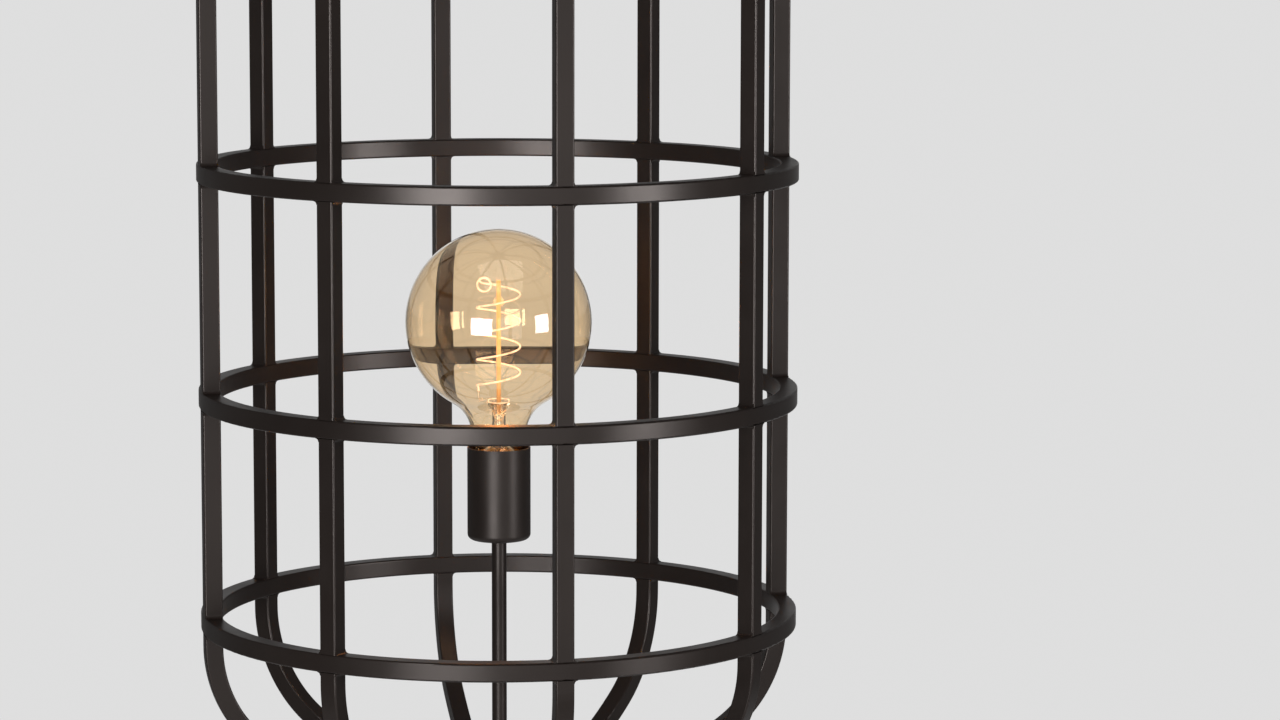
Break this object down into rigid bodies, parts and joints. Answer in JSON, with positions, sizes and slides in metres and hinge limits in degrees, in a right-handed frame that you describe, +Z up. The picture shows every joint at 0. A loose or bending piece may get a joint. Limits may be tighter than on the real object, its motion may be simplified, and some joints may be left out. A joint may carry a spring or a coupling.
{
  "type": "wire cage floor lamp",
  "caption": "Floor lamp: a lantern cage of square steel bar on a slim pole and round weighted foot, with an amber globe bulb upright on a rod inside the cage.",
  "frame": {"origin": "on the floor under the middle of the round foot", "axes": "+Z up along the pole; -Y is the front, the cord inlet is at the back on +Y; the cage's windows face +X, -X, +Y and -Y"},
  "size_m": [0.4, 0.4, 1.5576],
  "materials": {
    "dark_powder_coat": "satin, finely textured, very dark bronze brown",
    "cast_iron": "rough cast, unpainted",
    "black_rubber": "matte",
    "zinc_steel": "zinc plated",
    "bakelite": "matte moulded",
    "brass": "plain",
    "black_vitrite": "glossy",
    "solder": "dull",
    "amber_glass": "clear amber tint, glossy",
    "clear_glass": "clear, glossy",
    "glowing_support": "glowing orange",
    "glowing_filament": "glowing",
    "lead_wire": "plain wire"
  },
  "bodies": {
    "root": {"foot_pads": "black_rubber", "foot_weight": "cast_iron", "foot_cover": "dark_powder_coat", "cord_inlet": "black_rubber", "foot_washer": "zinc_steel", "foot_nut": "zinc_steel", "pole_nipples": "zinc_steel", "lower_pole": "dark_powder_coat", "upper_pole": "dark_powder_coat", "pole_plugs": "zinc_steel", "cage_plug": "zinc_steel", "foot_collar": "dark_powder_coat", "cage_collar": "dark_powder_coat", "collar_screws": "zinc_steel", "bottom_hub": "dark_powder_coat", "top_hub": "dark_powder_coat", "cage_ring_1": "dark_powder_coat", "cage_ring_2": "dark_powder_coat", "cage_ring_3": "dark_powder_coat", "cage_ring_4": "dark_powder_coat", "cage_column_1": "dark_powder_coat", "bottom_rib_1": "dark_powder_coat", "top_rib_1": "dark_powder_coat", "cage_column_2": "dark_powder_coat", "bottom_rib_2": "dark_powder_coat", "top_rib_2": "dark_powder_coat", "cage_column_3": "dark_powder_coat", "bottom_rib_3": "dark_powder_coat", "top_rib_3": "dark_powder_coat", "cage_column_4": "dark_powder_coat", "bottom_rib_4": "dark_powder_coat", "top_rib_4": "dark_powder_coat", "cage_column_5": "dark_powder_coat", "bottom_rib_5": "dark_powder_coat", "top_rib_5": "dark_powder_coat", "cage_column_6": "dark_powder_coat", "bottom_rib_6": "dark_powder_coat", "top_rib_6": "dark_powder_coat", "cage_column_7": "dark_powder_coat", "bottom_rib_7": "dark_powder_coat", "top_rib_7": "dark_powder_coat", "cage_column_8": "dark_powder_coat", "bottom_rib_8": "dark_powder_coat", "top_rib_8": "dark_powder_coat", "lamp_rod": "dark_powder_coat", "rod_washers": "zinc_steel", "rod_nuts": "zinc_steel", "holder_cup": "dark_powder_coat", "holder_insert": "bakelite", "terminal_screws": "brass", "screw_shell": "brass", "centre_contact": "brass"},
    "bulb_tip": {"cap_tip": "solder"},
    "bulb": {"bulb_globe": "amber_glass", "bulb_cap": "brass", "cap_insulator": "black_vitrite", "bulb_stem": "clear_glass", "filament_support": "glowing_support", "bulb_filament": "glowing_filament", "filament_lead": "lead_wire"}
  },
  "joints": [
    {"name": "bulb_lift", "type": "slide", "parent": "root", "child": "bulb_tip", "axis": [0, 0, 1], "range_m": [0, 0.01452]},
    {"name": "bulb_turn", "type": "hinge", "parent": "bulb_tip", "child": "bulb", "pos_m": [0, 0, 1.04924], "axis": [0, 0, 1], "range_deg": [0, 1440]}
  ],
  "couplings": [
    {"joint": "bulb_lift", "follows": "bulb_turn", "m_per_rad": 0.00057757}
  ]
}
